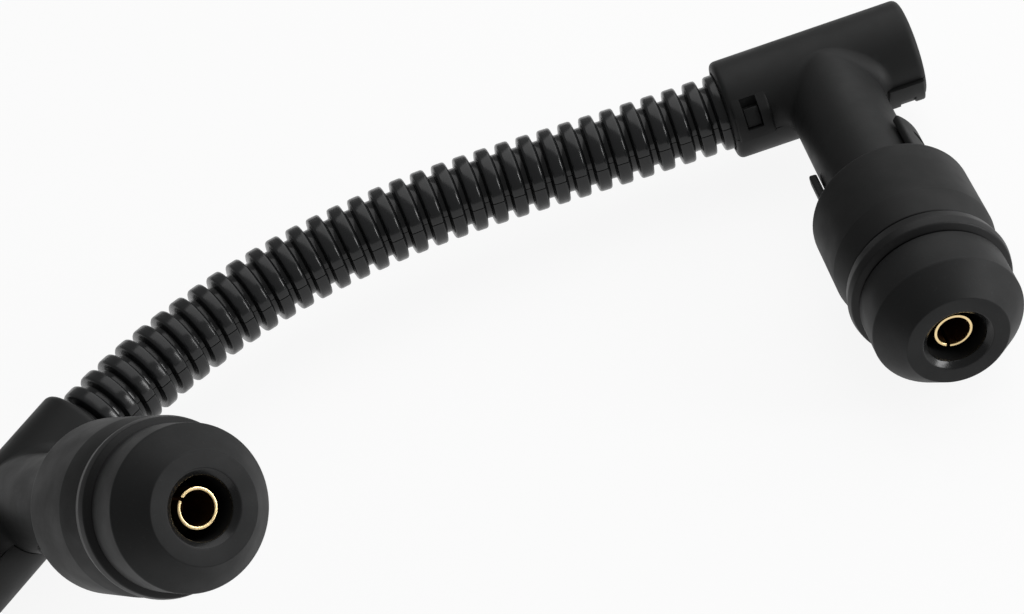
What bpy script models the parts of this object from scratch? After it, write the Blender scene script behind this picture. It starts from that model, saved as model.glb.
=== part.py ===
"""Glow plug harness: two right-angle plug heads joined by a slit corrugated conduit.

Each head has its own frame: +X along the tee, +Z down the neck to the plug's nose, and its
origin where the two axes cross. Both heads are the same mouldings, set down by two empties.
Lengths are in metres, +Z is up, and the harness lies on z = 0.
"""
import math

import bmesh
import bpy
from mathutils import Euler, Matrix, Vector

# Fits shared by all pieces
FIT = 0.0003
OVERRUN = 0.002

# Slit corrugated conduit
CONDUIT_R = 0.0065
CONDUIT_WALL = 0.00045
CREST_WIDTH = 0.0021
GROOVE_DEPTH = 0.0015
GROOVE_SLOPE = 0.0003
PITCH_WANTED = 0.0036
SLIT_WIDTH = 0.0007
SLIT_TURN = math.radians(81)
CONDUIT_SIDES = 12
CONDUIT_STOP = 0.0095

# Tee, split lengthwise into the housing's half and the cover's half
TEE_WALL = 0.0016
TEE_BORE_R = CONDUIT_R + FIT
TEE_R = TEE_BORE_R + TEE_WALL
TEE_INLET = 0.0174
TEE_OUTLET = 0.0156
TEE_RIM = 0.0012
RIB_WIDTH = 0.0008
RIB_R = TEE_BORE_R - GROOVE_DEPTH + FIT
RIB_X = CONDUIT_STOP + CREST_WIDTH + (PITCH_WANTED - CREST_WIDTH) / 2
SPLIT_OFFSET = 0.0006

# Snap windows on the tee, each with its latch at a set distance from the tee's end
TONGUE_THICK = 0.0008
TONGUE_HALF = 0.0016
LATCH_IN = 0.0038
LATCH_HALF = 0.00135
FLAP_THICK = 0.0013
FLAP_HALF = 0.0031
FLAP_MARGIN = 0.0008
PAST_SPLIT = math.radians(-14)
TONGUE_ROOT = math.radians(-21)
FLAP_MARGIN_TURN = math.radians(8)
FRONT_WINDOW = (math.radians(8), math.radians(43))
REAR_WINDOW = (math.radians(24), math.radians(52))
BARB_SHARE = 0.65

# Neck, a little slimmer than the tee, and the fillet at its root
NECK_STEP = 0.0007
NECK_R = TEE_R - NECK_STEP
NECK_WALL = 0.0025
NECK_BORE_R = NECK_R - NECK_WALL
NECK_LENGTH = 0.0381
ROOT_SIDE_R = 0.0018
ROOT_FRONT_R = 0.0040
ROOT_PROUD = 0.00004
ROOT_SUNK = 0.8
CATCH_HIGH = 0.0014
CATCH_HALF = 0.0015
CATCH_LENGTH = 0.0046

# Shell, the sleeve that snaps on over the neck
SHELL_R = 0.0126
SHELL_FRONT_R = 0.0118
SHELL_BODY = 0.0122
SHELL_TAPER = 0.0046
SHELL_BACK_WALL = 0.0029
SHELL_EDGE = 0.0009
ARM_REACH = 0.0136
ARM_THICK = 0.0013
ARM_HALF_TURN = math.radians(26)
ARM_CENTRE = math.radians(21)
ARM_TIP = 0.0032

# Nose, its spigot and the seal round it
NOSE_R = 0.0115
FACE_R = 0.0077
NOSE_BODY = 0.0067
NOSE_CONE = 0.0046
SPIGOT_WALL = 0.0012
SPIGOT_OVERLAP = 0.0070
RECESS_R = 0.0044
RECESS_DEPTH = 0.0125
RECESS_CHAMFER = 0.0009
SEAL_LENGTH = 0.0046
SEAL_PROUD = 0.0002
SEAL_R = SHELL_R + SEAL_PROUD

# Terminal and wiring
TERMINAL_R = 0.0029
TERMINAL_WALL = 0.00055
TERMINAL_SUNK = 0.0023
TERMINAL_SLEEVE = 0.0125
TERMINAL_WEB = 0.0020
TERMINAL_SLIT = 0.0006
BARREL_WALL = 0.0006
BARREL_LENGTH = 0.0070
LEAD_R = 0.00125
WIRE_SEAL_LENGTH = 0.0090
WIRE_SEAL_RIBS = 3
WIRE_SEAL_GROOVE = 0.0006
TRUNK_R = 0.0016
SPLICE_WALL = 0.0013
SPLICE_HALF = 0.0075
PLUG_THICK = 0.0045
PLUG_RIM = 0.0011

# Placement of both heads and the conduit's route between them
LEFT_PLACE = Vector((-0.0724, 0.0234, 0.0103))
RIGHT_PLACE = Vector((0.0744, 0.0234, 0.0122))
LEFT_TURN = Euler((math.radians(62.17), math.radians(-7.03), math.radians(25.04)))
RIGHT_TURN = Euler((math.radians(89.37), math.radians(-0.61), math.radians(-14.54)))
LEFT_SLIT_TURN = math.radians(105)
RIGHT_SLIT_TURN = math.radians(243)
MID_KNOT = Vector((-0.0084, 0.0404, 0.0138))
MID_COURSE = Vector((0.9978, -0.0688, 0.0194))
LEFT_HANDLE = 0.0072
MID_HANDLE_LEFT = 0.0237
MID_HANDLE_RIGHT = 0.0222
RIGHT_HANDLE = 0.0333

# Facets
SIDES = 24
BORE_SIDES = 16
WIRE_SIDES = 10
ARC_STEPS = 5
ROOT_STEPS = 4
TRUNK_STEPS = 9
ROUTE_SAMPLES = 400

# Derived stations along a head's axis, from the tee to the nose
SHELL_BACK = NECK_LENGTH
SHELL_TAPER_AT = SHELL_BACK + SHELL_BODY
SHELL_FRONT = SHELL_TAPER_AT + SHELL_TAPER
NOSE_BACK = SHELL_FRONT + SEAL_LENGTH
CONE_AT = NOSE_BACK + NOSE_BODY
FACE_AT = CONE_AT + NOSE_CONE
SPIGOT_BORE_R = NECK_R + FIT
SPIGOT_R = SPIGOT_BORE_R + SPIGOT_WALL
NECK_END = SHELL_TAPER_AT + SHELL_TAPER / 2
SPIGOT_BACK = NECK_END - SPIGOT_OVERLAP
RECESS_FLOOR = FACE_AT - RECESS_DEPTH
TERMINAL_FRONT = FACE_AT - TERMINAL_SUNK
TERMINAL_BACK = TERMINAL_FRONT - TERMINAL_SLEEVE
BARREL_BORE_R = LEAD_R + FIT
BARREL_BACK = TERMINAL_BACK - BARREL_LENGTH
SPLICE_R = TRUNK_R + FIT + SPLICE_WALL
POCKET_R = TEE_BORE_R + TONGUE_THICK + FIT
FLAP_R = POCKET_R + FLAP_THICK


def clear_scene():
    """Empties the scene, so that a second run starts afresh."""
    for obj in list(bpy.data.objects):
        bpy.data.objects.remove(obj, do_unlink=True)
    for group in list(bpy.data.collections):
        bpy.data.collections.remove(group)


def new_collection(name):
    group = bpy.data.collections.new(name)
    bpy.context.scene.collection.children.link(group)
    return group


def new_material(name, colour, roughness, metallic=0.0):
    material = bpy.data.materials.new(name)
    material.use_nodes = True
    shader = material.node_tree.nodes["Principled BSDF"]
    shader.inputs["Base Color"].default_value = (*colour, 1.0)
    shader.inputs["Roughness"].default_value = roughness
    shader.inputs["Metallic"].default_value = metallic
    material.diffuse_color = (*colour, 1.0)
    return material


def link_mesh(mesh):
    """Puts a mesh on the bench as a working object."""
    obj = bpy.data.objects.new(mesh.name, mesh)
    bpy.context.scene.collection.objects.link(obj)
    return obj


def turned(profile, sides=SIDES):
    """Solid of revolution about Z; the (radius, height) points run down its outer side."""
    count = len(profile)
    reaches_axis = profile[0][0] == 0
    edges = [(i, i + 1) for i in range(count - 1)]
    if not reaches_axis:
        edges.append((count - 1, 0))
    mesh = bpy.data.meshes.new("turned")
    mesh.from_pydata([(radius, 0, height) for radius, height in profile], edges, [])
    obj = link_mesh(mesh)
    screw = obj.modifiers.new("Turn", "SCREW")
    screw.axis = "Z"
    screw.angle = math.tau
    screw.steps = sides
    screw.render_steps = sides
    screw.use_merge_vertices = True
    screw.merge_threshold = 0.00001
    return obj


def turned_along_x(profile, sides=SIDES):
    """The same about X, with heights measured along +X."""
    obj = turned(profile, sides)
    obj.rotation_euler = (0, math.pi / 2, 0)
    return obj


def prism(outline, low, high, axis):
    """Solid with a flat outline carried along an axis from low to high."""
    place = {
        "X": lambda u, v, w: (w, u, v),
        "Y": lambda u, v, w: (u, w, v),
        "Z": lambda u, v, w: (u, v, w),
    }[axis]
    shape = bmesh.new()
    face = shape.faces.new([shape.verts.new(place(u, v, low)) for u, v in outline])
    grown = bmesh.ops.extrude_face_region(shape, geom=[face])
    moved = [item for item in grown["geom"] if isinstance(item, bmesh.types.BMVert)]
    bmesh.ops.translate(shape, verts=moved, vec=place(0, 0, high - low))
    bmesh.ops.recalc_face_normals(shape, faces=shape.faces)
    mesh = bpy.data.meshes.new("prism")
    shape.to_mesh(mesh)
    shape.free()
    return link_mesh(mesh)


def block(low, high):
    """Box between two corners."""
    outline = [(low[0], low[1]), (high[0], low[1]), (high[0], high[1]), (low[0], high[1])]
    return prism(outline, low[2], high[2], "Z")


def polar(radius, angle):
    """Outline point at an angle that turns from the outline's second axis to its first."""
    return radius * math.sin(angle), radius * math.cos(angle)


def arc(radius, start, end):
    return [polar(radius, start + (end - start) * i / ARC_STEPS) for i in range(ARC_STEPS + 1)]


def arc_band(inner, outer, start, end):
    """Outline of a ring's sector."""
    return arc(outer, start, end) + arc(inner, end, start)


def combine(target, tool, operation):
    """Adds one exact Boolean step to the target."""
    step = target.modifiers.new(operation.title(), "BOOLEAN")
    step.operation = operation
    step.solver = "EXACT"
    step.object = tool


def join(target, *tools):
    for tool in tools:
        combine(target, tool, "UNION")


def cut(target, *tools):
    for tool in tools:
        combine(target, tool, "DIFFERENCE")


def finished_mesh(target, name, sharp=math.radians(35)):
    """Applies the target's modifiers, clears the bench and returns the smooth-shaded mesh."""
    bpy.context.view_layer.update()
    graph = bpy.context.evaluated_depsgraph_get()
    mesh = bpy.data.meshes.new_from_object(target.evaluated_get(graph))
    mesh.transform(target.matrix_world)
    mesh.name = name
    mesh.shade_smooth()
    mesh.set_sharp_from_angle(angle=sharp)
    for obj in list(bpy.context.scene.collection.objects):
        if obj.type == "MESH":
            bpy.data.objects.remove(obj, do_unlink=True)
    return mesh


def spun(obj, angle):
    """Turns a working object about the neck's axis."""
    obj.matrix_world = Matrix.Rotation(angle, 4, "Z") @ obj.matrix_world
    return obj


def half_turned(obj):
    """Swaps the tee's two halves."""
    return spun(obj, math.pi)


def tee_solid():
    """Outside of the whole tee, with rounded rims."""
    round_in = TEE_RIM * (1 - math.sqrt(0.5))
    profile = [(0, TEE_OUTLET), (TEE_R - TEE_RIM, TEE_OUTLET)]
    profile.append((TEE_R - round_in, TEE_OUTLET - round_in))
    profile += [(TEE_R, TEE_OUTLET - TEE_RIM), (TEE_R, TEE_RIM - TEE_INLET)]
    profile.append((TEE_R - round_in, round_in - TEE_INLET))
    profile += [(TEE_R - TEE_RIM, -TEE_INLET), (0, -TEE_INLET)]
    return turned_along_x(profile)


def tee_bore():
    """Bore through the tee, necked at the two ribs that grip a conduit's groove."""
    top = TEE_OUTLET + OVERRUN
    bottom = -TEE_INLET - OVERRUN
    profile = [(0, top), (TEE_BORE_R, top)]
    for centre in (RIB_X, -RIB_X):
        high = centre + RIB_WIDTH / 2
        low = centre - RIB_WIDTH / 2
        profile += [(TEE_BORE_R, high), (RIB_R, high), (RIB_R, low), (TEE_BORE_R, low)]
    profile += [(TEE_BORE_R, bottom), (0, bottom)]
    return turned_along_x(profile, BORE_SIDES)


def latch_x(end):
    """Middle of a snap window whose side of the tee ends at the given distance."""
    return end - LATCH_IN


def latch_prism(outline, end, half):
    """Carries an outline along the tee for half a width to each side of the latch."""
    return prism(outline, -latch_x(end) - half, -latch_x(end) + half, "X")


def flap(end, window):
    """Raised frame over a snap window, on the -X side, that runs level into the tee at its top."""
    top = window[1] + FLAP_MARGIN_TURN
    crest = top - math.acos(TEE_R / FLAP_R)
    toe = polar(TEE_R - FIT / 3, top)
    outline = arc(FLAP_R, PAST_SPLIT, crest) + [toe] + arc(TEE_BORE_R, top, PAST_SPLIT)
    return prism(outline, FLAP_MARGIN - end, FLAP_HALF - latch_x(end), "X")


def flap_pocket(end, window):
    """Room under the frame for the other half's tongue."""
    top = window[1] + FLAP_MARGIN_TURN / 2
    outline = arc_band(TEE_BORE_R - FIT, POCKET_R, PAST_SPLIT, top)
    return latch_prism(outline, end, TONGUE_HALF + FIT)


def flap_window(end, window):
    outline = arc_band(TEE_BORE_R - FIT, FLAP_R + OVERRUN, *window)
    return latch_prism(outline, end, LATCH_HALF)


def tongue(end, window):
    """Tongue of the half on the other side, which runs under the frame."""
    inner = TEE_BORE_R + FIT / 3
    outer = TEE_BORE_R + TONGUE_THICK
    return latch_prism(arc_band(inner, outer, TONGUE_ROOT, window[1]), end, TONGUE_HALF)


def barb(end, window):
    """Catch on the tongue that shows in the window."""
    low = window[0] + FIT / TEE_R
    high = window[0] + (window[1] - window[0]) * BARB_SHARE
    outline = arc_band(TEE_BORE_R + TONGUE_THICK / 2, TEE_R + FIT, low, high)
    return latch_prism(outline, end, LATCH_HALF - FIT)


def kept(side, obj):
    """Cuts away what lies past the split; side is +1 for the front half and -1 for the rear."""
    reach = TEE_INLET + FLAP_R
    edge = side * FIT / 2 - SPLIT_OFFSET
    low, high = sorted((edge, -side * reach))
    cut(obj, block((-reach, low, -reach), (reach, high, reach)))
    return obj


def root_point(turn, share):
    """Point of the neck's fillet at an angle round the neck, from the neck at 0 to the tee at 1."""
    ball = ROOT_SIDE_R + (ROOT_FRONT_R - ROOT_SIDE_R) * abs(math.sin(turn))
    across = NECK_R + ROOT_PROUD + ball
    x = across * math.cos(turn)
    y = across * math.sin(turn)
    centre = Vector((x, y, math.sqrt((TEE_R + ROOT_PROUD + ball) ** 2 - y * y)))
    to_neck = Vector((-math.cos(turn), -math.sin(turn), 0))
    to_tee = -Vector((0, centre.y, centre.z)).normalized()
    return centre + to_neck.slerp(to_tee, share) * ball


def root_section(turn):
    """The fillet's arc, closed by two points inside the neck, of which one is in the tee too."""
    points = [root_point(turn, step / ROOT_STEPS) for step in range(ROOT_STEPS + 1)]
    x = points[0].x * ROOT_SUNK
    y = points[0].y * ROOT_SUNK
    return [Vector((x, y, points[0].z))] + points + [Vector((x, y, points[-1].z * ROOT_SUNK))]


def neck_root():
    """Fillet between the neck and the tee, lofted as the path of a ball rolled round their corner."""
    shape = bmesh.new()
    turns = [math.tau * i / SIDES for i in range(SIDES)]
    sections = [[shape.verts.new(point) for point in root_section(turn)] for turn in turns]
    for here, there in zip(sections, sections[1:] + sections[:1]):
        for i in range(len(here)):
            shape.faces.new((here[i - 1], here[i], there[i], there[i - 1]))
    bmesh.ops.recalc_face_normals(shape, faces=shape.faces)
    mesh = bpy.data.meshes.new("neck_root")
    shape.to_mesh(mesh)
    shape.free()
    return link_mesh(mesh)


def housing_mesh():
    """Neck and front half of the tee, one moulding."""
    neck = turned([(0, NECK_END), (NECK_R, NECK_END), (NECK_R, FIT / 2), (0, FIT / 2)])
    join(neck, kept(1, tee_solid()), kept(1, neck_root()), kept(1, flap(TEE_INLET, FRONT_WINDOW)))
    bore_top = NECK_END + OVERRUN
    bore = turned([(0, bore_top), (NECK_BORE_R, bore_top), (NECK_BORE_R, 0), (0, 0)], BORE_SIDES)
    cut(neck, tee_bore(), bore)
    cut(neck, flap_pocket(TEE_INLET, FRONT_WINDOW), flap_window(TEE_INLET, FRONT_WINDOW))
    join(neck, half_turned(tongue(TEE_OUTLET, REAR_WINDOW)), half_turned(barb(TEE_OUTLET, REAR_WINDOW)))
    for side in (0, math.pi):
        join(neck, spun(neck_catch(), ARM_CENTRE + side))
    return finished_mesh(neck, "housing")


def neck_catch():
    """Ramp on the neck that holds one snap arm of the shell."""
    root = NECK_R - CATCH_HIGH / 2
    crest = NECK_R + CATCH_HIGH
    shoulder = SHELL_BACK - ARM_REACH + ARM_TIP + FIT
    foot = shoulder + CATCH_LENGTH
    outline = [(root, shoulder), (crest, shoulder), (crest, shoulder + CATCH_HIGH / 3)]
    outline += [(NECK_R, foot), (root, foot)]
    return prism(outline, -CATCH_HALF, CATCH_HALF, "Y")


def cover_mesh():
    """Rear half of the tee, notched round the neck."""
    cover = kept(-1, tee_solid())
    join(cover, kept(-1, half_turned(flap(TEE_OUTLET, REAR_WINDOW))))
    notch_r = NECK_R + FIT
    top = TEE_R * 2
    notch = turned([(0, top), (notch_r, top), (notch_r, -FIT / 2), (0, -FIT / 2)])
    cut(cover, tee_bore(), notch)
    cut(cover, half_turned(flap_pocket(TEE_OUTLET, REAR_WINDOW)))
    cut(cover, half_turned(flap_window(TEE_OUTLET, REAR_WINDOW)))
    join(cover, tongue(TEE_INLET, FRONT_WINDOW), barb(TEE_INLET, FRONT_WINDOW))
    return finished_mesh(cover, "cover")


def shell_mesh():
    """Sleeve with a rounded back, a tapered front and two snap arms."""
    back_bore = NECK_R + FIT
    front_bore = SPIGOT_R + FIT
    wall_end = SHELL_BACK + SHELL_BACK_WALL
    profile = [(SHELL_FRONT_R, SHELL_FRONT), (SHELL_R, SHELL_TAPER_AT)]
    profile += [(SHELL_R, SHELL_BACK + SHELL_EDGE), (SHELL_R - SHELL_EDGE / 3, SHELL_BACK + SHELL_EDGE / 3)]
    profile += [(SHELL_R - SHELL_EDGE, SHELL_BACK), (back_bore, SHELL_BACK)]
    profile += [(back_bore, wall_end), (front_bore, wall_end), (front_bore, SHELL_FRONT)]
    shell = turned(profile)
    for side in (0, math.pi):
        join(shell, spun(snap_arm(), ARM_CENTRE + side))
        cut(shell, spun(arm_window(), ARM_CENTRE + side))
    return finished_mesh(shell, "shell")


def snap_arm():
    """Curved arm that rises from the shell's back along the neck."""
    inner = NECK_R + FIT
    low = math.pi / 2 - ARM_HALF_TURN
    high = math.pi / 2 + ARM_HALF_TURN
    outline = arc_band(inner, inner + ARM_THICK, low, high)
    return prism(outline, SHELL_BACK - ARM_REACH, SHELL_BACK + SHELL_BACK_WALL / 2, "Z")


def arm_window():
    """Window in a snap arm that drops over the neck's catch."""
    low = SHELL_BACK - ARM_REACH + ARM_TIP
    high = low + CATCH_LENGTH + FIT * 2
    half = CATCH_HALF + FIT
    return block((NECK_R / 2, -half, low), (NECK_R + ARM_THICK * 2, half, high))


def seal_mesh():
    """Rubber ring that bulges between the shell and the nose."""
    bore = SPIGOT_R + FIT
    top = NOSE_BACK - FIT
    bottom = SHELL_FRONT + FIT
    height = top - bottom
    lip = SEAL_R - SHELL_FRONT_R
    profile = [(NOSE_R - lip / 3, top), (SEAL_R - lip / 5, top - height / 6)]
    profile += [(SEAL_R, bottom + height / 2), (SEAL_R - lip / 4, bottom + height / 5)]
    profile += [(SHELL_FRONT_R - lip / 3, bottom), (bore, bottom), (bore, top)]
    return finished_mesh(turned(profile), "seal_ring")


def nose_mesh():
    """Nose with its cone, the recess round the terminal and the spigot in the shell."""
    seat_r = TERMINAL_R + FIT
    mouth = FACE_AT - RECESS_CHAMFER
    neck_stop = NECK_END + FIT
    profile = [(RECESS_R + RECESS_CHAMFER, FACE_AT), (FACE_R, FACE_AT), (NOSE_R, CONE_AT)]
    profile += [(NOSE_R, NOSE_BACK), (SPIGOT_R, NOSE_BACK), (SPIGOT_R, SPIGOT_BACK)]
    profile += [(SPIGOT_BORE_R, SPIGOT_BACK), (SPIGOT_BORE_R, neck_stop), (seat_r, neck_stop)]
    profile += [(seat_r, RECESS_FLOOR), (RECESS_R, RECESS_FLOOR), (RECESS_R, mouth)]
    return finished_mesh(turned(profile), "nose")


def terminal_mesh():
    """Split sleeve that grips the plug's pin, with a crimp barrel behind it."""
    bore = TERMINAL_R - TERMINAL_WALL
    web_front = TERMINAL_BACK + TERMINAL_WEB
    lead_in = TERMINAL_WALL / 2
    barrel_r = BARREL_BORE_R + BARREL_WALL
    profile = [(0, web_front), (bore, web_front), (bore, TERMINAL_FRONT - lead_in)]
    profile += [(bore + lead_in, TERMINAL_FRONT), (TERMINAL_R, TERMINAL_FRONT - lead_in)]
    profile += [(TERMINAL_R, TERMINAL_BACK), (barrel_r, TERMINAL_BACK - BARREL_WALL)]
    profile += [(barrel_r, BARREL_BACK), (BARREL_BORE_R, BARREL_BACK)]
    profile += [(BARREL_BORE_R, TERMINAL_BACK), (0, TERMINAL_BACK)]
    terminal = turned(profile, BORE_SIDES)
    half = TERMINAL_SLIT / 2
    top = TERMINAL_FRONT + OVERRUN
    cut(terminal, block((0, -half, web_front + FIT), (TERMINAL_R + OVERRUN, half, top)))
    return finished_mesh(terminal, "terminal")


def wire_seal_mesh():
    """Ribbed rubber grommet round the lead in the neck."""
    crest = NECK_BORE_R - FIT
    bore = LEAD_R + FIT
    bottom = BARREL_BACK - FIT - WIRE_SEAL_LENGTH
    pitch = WIRE_SEAL_LENGTH / (2 * WIRE_SEAL_RIBS - 1)
    profile = []
    for i in reversed(range(2 * WIRE_SEAL_RIBS - 1)):
        radius = crest if i % 2 == 0 else crest - WIRE_SEAL_GROOVE
        profile += [(radius, bottom + pitch * (i + 1)), (radius, bottom + pitch * i)]
    profile += [(bore, bottom), (bore, bottom + WIRE_SEAL_LENGTH)]
    return finished_mesh(turned(profile, WIRE_SIDES), "wire_seal")


def lead_mesh():
    """Lead from the splice down the neck into the crimp barrel."""
    high = TERMINAL_BACK - FIT
    low = SPLICE_R + FIT
    return finished_mesh(turned([(0, high), (LEAD_R, high), (LEAD_R, low), (0, low)], WIRE_SIDES), "lead")


def splice_mesh():
    """Sleeve over the joint between the trunk wire and the lead."""
    bore = TRUNK_R + FIT
    nose = SPLICE_WALL / 2
    profile = [(SPLICE_R - nose, SPLICE_HALF), (SPLICE_R, SPLICE_HALF - nose)]
    profile += [(SPLICE_R, nose - SPLICE_HALF), (SPLICE_R - nose, -SPLICE_HALF)]
    profile += [(bore, -SPLICE_HALF), (bore, SPLICE_HALF)]
    return finished_mesh(turned_along_x(profile, WIRE_SIDES), "splice")


def end_plug_mesh():
    """Plug that blanks the right tee's outlet, grooved for the tee's rib."""
    outer = TEE_BORE_R - FIT
    groove_r = RIB_R - FIT
    front = TEE_OUTLET - TEE_RIM / 2
    back = front - PLUG_THICK
    groove_high = RIB_X + RIB_WIDTH / 2 + FIT
    groove_low = RIB_X - RIB_WIDTH / 2 - FIT
    dished = front - PLUG_RIM
    rim_r = outer - PLUG_RIM
    profile = [(0, dished), (rim_r - PLUG_RIM, dished), (rim_r, front), (outer, front)]
    profile += [(outer, groove_high), (groove_r, groove_high), (groove_r, groove_low)]
    profile += [(outer, groove_low), (outer, back), (0, back)]
    return finished_mesh(turned_along_x(profile, BORE_SIDES), "end_plug")


def bezier_points(knots, steps):
    """Points along cubic spans given as (start, handle, handle, end)."""
    points = [knots[0][0]]
    for a, b, c, d in knots:
        for i in range(1, steps + 1):
            t = i / steps
            s = 1 - t
            points.append(a * s ** 3 + b * 3 * s * s * t + c * 3 * s * t * t + d * t ** 3)
    return points


def path_length(points):
    return sum((b - a).length for a, b in zip(points, points[1:]))


def straight_span(start, end):
    return start, start.lerp(end, 1 / 3), start.lerp(end, 2 / 3), end


def route_spans(left, right):
    """The conduit's route: straight inside both tees and bent between their mouths."""
    start = left @ Vector((CONDUIT_STOP, 0, 0))
    left_mouth = left @ Vector((TEE_OUTLET, 0, 0))
    right_mouth = right @ Vector((-TEE_INLET, 0, 0))
    end = right @ Vector((-CONDUIT_STOP, 0, 0))
    leaving = left_mouth + (left_mouth - start).normalized() * LEFT_HANDLE
    arriving = right_mouth - (end - right_mouth).normalized() * RIGHT_HANDLE
    course = MID_COURSE.normalized()
    rise = (left_mouth, leaving, MID_KNOT - course * MID_HANDLE_LEFT, MID_KNOT)
    fall = (MID_KNOT, MID_KNOT + course * MID_HANDLE_RIGHT, arriving, right_mouth)
    return straight_span(start, left_mouth), rise, fall, straight_span(right_mouth, end)


def route_guide(spans, group):
    """Bezier guide that bends the conduit."""
    curve = bpy.data.curves.new("conduit_route", "CURVE")
    curve.dimensions = "3D"
    curve.resolution_u = 48
    curve.twist_mode = "Z_UP"
    spline = curve.splines.new("BEZIER")
    spline.bezier_points.add(len(spans))
    ends = [spans[0][0]] + [span[3] for span in spans]
    for i, (point, end) in enumerate(zip(spline.bezier_points, ends)):
        before = spans[i - 1][2] if i > 0 else 2 * end - spans[0][1]
        after = spans[i][1] if i < len(spans) else 2 * end - spans[-1][2]
        point.co = end
        point.handle_left_type = "FREE"
        point.handle_right_type = "FREE"
        point.handle_left = before
        point.handle_right = after
    guide = bpy.data.objects.new("conduit_route", curve)
    guide.hide_render = True
    guide.display_type = "WIRE"
    group.objects.link(guide)
    return guide


def make_conduit(spans, material, group, guides):
    """Thin corrugated tube, slit along its length and bent along its route."""
    length = path_length(bezier_points(spans, ROUTE_SAMPLES))
    rings = round((length - CREST_WIDTH) / PITCH_WANTED) + 1
    pitch = (length - CREST_WIDTH) / (rings - 1)
    root = CONDUIT_R - GROOVE_DEPTH
    profile = []
    for ring in range(rings):
        start = ring * pitch
        profile += [(start, CONDUIT_R), (start + CREST_WIDTH, CONDUIT_R)]
        if ring < rings - 1:
            profile.append((start + CREST_WIDTH + GROOVE_SLOPE, root))
            profile.append((start + pitch - GROOVE_SLOPE, root))
    profile.reverse()
    opening = SLIT_WIDTH / CONDUIT_R
    first = math.pi / 2 + SLIT_TURN + opening / 2
    mesh = bpy.data.meshes.new("conduit")
    verts = [(x, radius * math.cos(first), radius * math.sin(first)) for x, radius in profile]
    mesh.from_pydata(verts, [(i, i + 1) for i in range(len(verts) - 1)], [])
    mesh.materials.append(material)
    conduit = bpy.data.objects.new("conduit", mesh)
    group.objects.link(conduit)
    screw = conduit.modifiers.new("Turn", "SCREW")
    screw.axis = "X"
    screw.angle = math.tau - opening
    screw.steps = CONDUIT_SIDES
    screw.render_steps = CONDUIT_SIDES
    screw.use_merge_vertices = False
    wall = conduit.modifiers.new("Wall", "SOLIDIFY")
    wall.thickness = CONDUIT_WALL
    wall.offset = -1
    wall.use_even_offset = True
    bend = conduit.modifiers.new("Bend", "CURVE")
    bend.object = route_guide(spans, guides)
    bend.deform_axis = "POS_X"
    return conduit


def make_trunk(spans, left, right, material, group):
    """Wire through both splices and the conduit."""
    points = [left @ Vector((-SPLICE_HALF, 0, 0)), left @ Vector((0, 0, 0))]
    points.append(spans[0][0])
    points += bezier_points(spans[1:-1], TRUNK_STEPS)
    points.append(spans[-1][-1])
    points += [right @ Vector((0, 0, 0)), right @ Vector((SPLICE_HALF, 0, 0))]
    curve = bpy.data.curves.new("trunk_wire", "CURVE")
    curve.dimensions = "3D"
    curve.bevel_depth = TRUNK_R
    curve.bevel_resolution = 2
    curve.use_fill_caps = True
    curve.twist_mode = "Z_UP"
    spline = curve.splines.new("POLY")
    spline.points.add(len(points) - 1)
    for point, place in zip(spline.points, points):
        point.co = (*place, 1)
    curve.materials.append(material)
    trunk = bpy.data.objects.new("trunk_wire", curve)
    group.objects.link(trunk)
    return trunk


def add_empty(name, location, turn, group):
    empty = bpy.data.objects.new(name, None)
    empty.location = location
    empty.rotation_euler = turn
    group.objects.link(empty)
    return empty


def add_piece(name, mesh, material, parent, group, spin=0.0):
    """One named piece in a head's frame, turned about the head's axis by spin."""
    if not mesh.materials:
        mesh.materials.append(material)
    piece = bpy.data.objects.new(name, mesh)
    piece.parent = parent
    piece.rotation_euler = (0, 0, spin)
    group.objects.link(piece)
    return piece


def main():
    clear_scene()
    group = new_collection("glow_plug_harness")
    guides = new_collection("guides")
    plastic = new_material("black_plastic", (0.022, 0.023, 0.024), 0.45)
    nose_plastic = new_material("nose_plastic", (0.026, 0.027, 0.028), 0.55)
    tubing = new_material("conduit_plastic", (0.016, 0.017, 0.019), 0.32)
    rubber = new_material("seal_rubber", (0.020, 0.020, 0.021), 0.38)
    silicone = new_material("grommet_silicone", (0.30, 0.06, 0.03), 0.5)
    brass = new_material("brass", (0.80, 0.52, 0.20), 0.25, 1.0)
    insulation = new_material("wire_insulation", (0.25, 0.02, 0.02), 0.45)
    sleeve = new_material("shrink_sleeve", (0.02, 0.02, 0.02), 0.4)

    pieces = [
        ("housing", housing_mesh(), plastic),
        ("cover", cover_mesh(), plastic),
        ("shell", shell_mesh(), plastic),
        ("seal_ring", seal_mesh(), rubber),
        ("nose", nose_mesh(), nose_plastic),
        ("terminal", terminal_mesh(), brass),
        ("wire_seal", wire_seal_mesh(), silicone),
        ("lead", lead_mesh(), insulation),
        ("splice", splice_mesh(), sleeve),
    ]
    plug = end_plug_mesh()

    left = add_empty("left_head", LEFT_PLACE, LEFT_TURN, group)
    right = add_empty("right_head", RIGHT_PLACE, RIGHT_TURN, group)
    for parent, side, spin in ((left, "left", LEFT_SLIT_TURN), (right, "right", RIGHT_SLIT_TURN)):
        for name, mesh, material in pieces:
            turn = spin if name == "terminal" else 0.0
            add_piece(f"{side}_{name}", mesh, material, parent, group, turn)
    add_piece("right_end_plug", plug, plastic, right, group)

    bpy.context.view_layer.update()
    spans = route_spans(left.matrix_world, right.matrix_world)
    make_conduit(spans, tubing, group, guides)
    make_trunk(spans, left.matrix_world, right.matrix_world, insulation, group)


main()
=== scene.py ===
# %% [markdown]
# # A glow plug harness
#
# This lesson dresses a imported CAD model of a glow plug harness: two right-angle
# plug heads joined by a slit corrugated loom. The CAD gives every size and place.
# Here each piece that the eye rests on is modelled again, rounder and finer, and
# everything gets a material built from nodes.

import math

import bmesh
import bpy
from mathutils import Euler, Matrix, Vector


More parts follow.
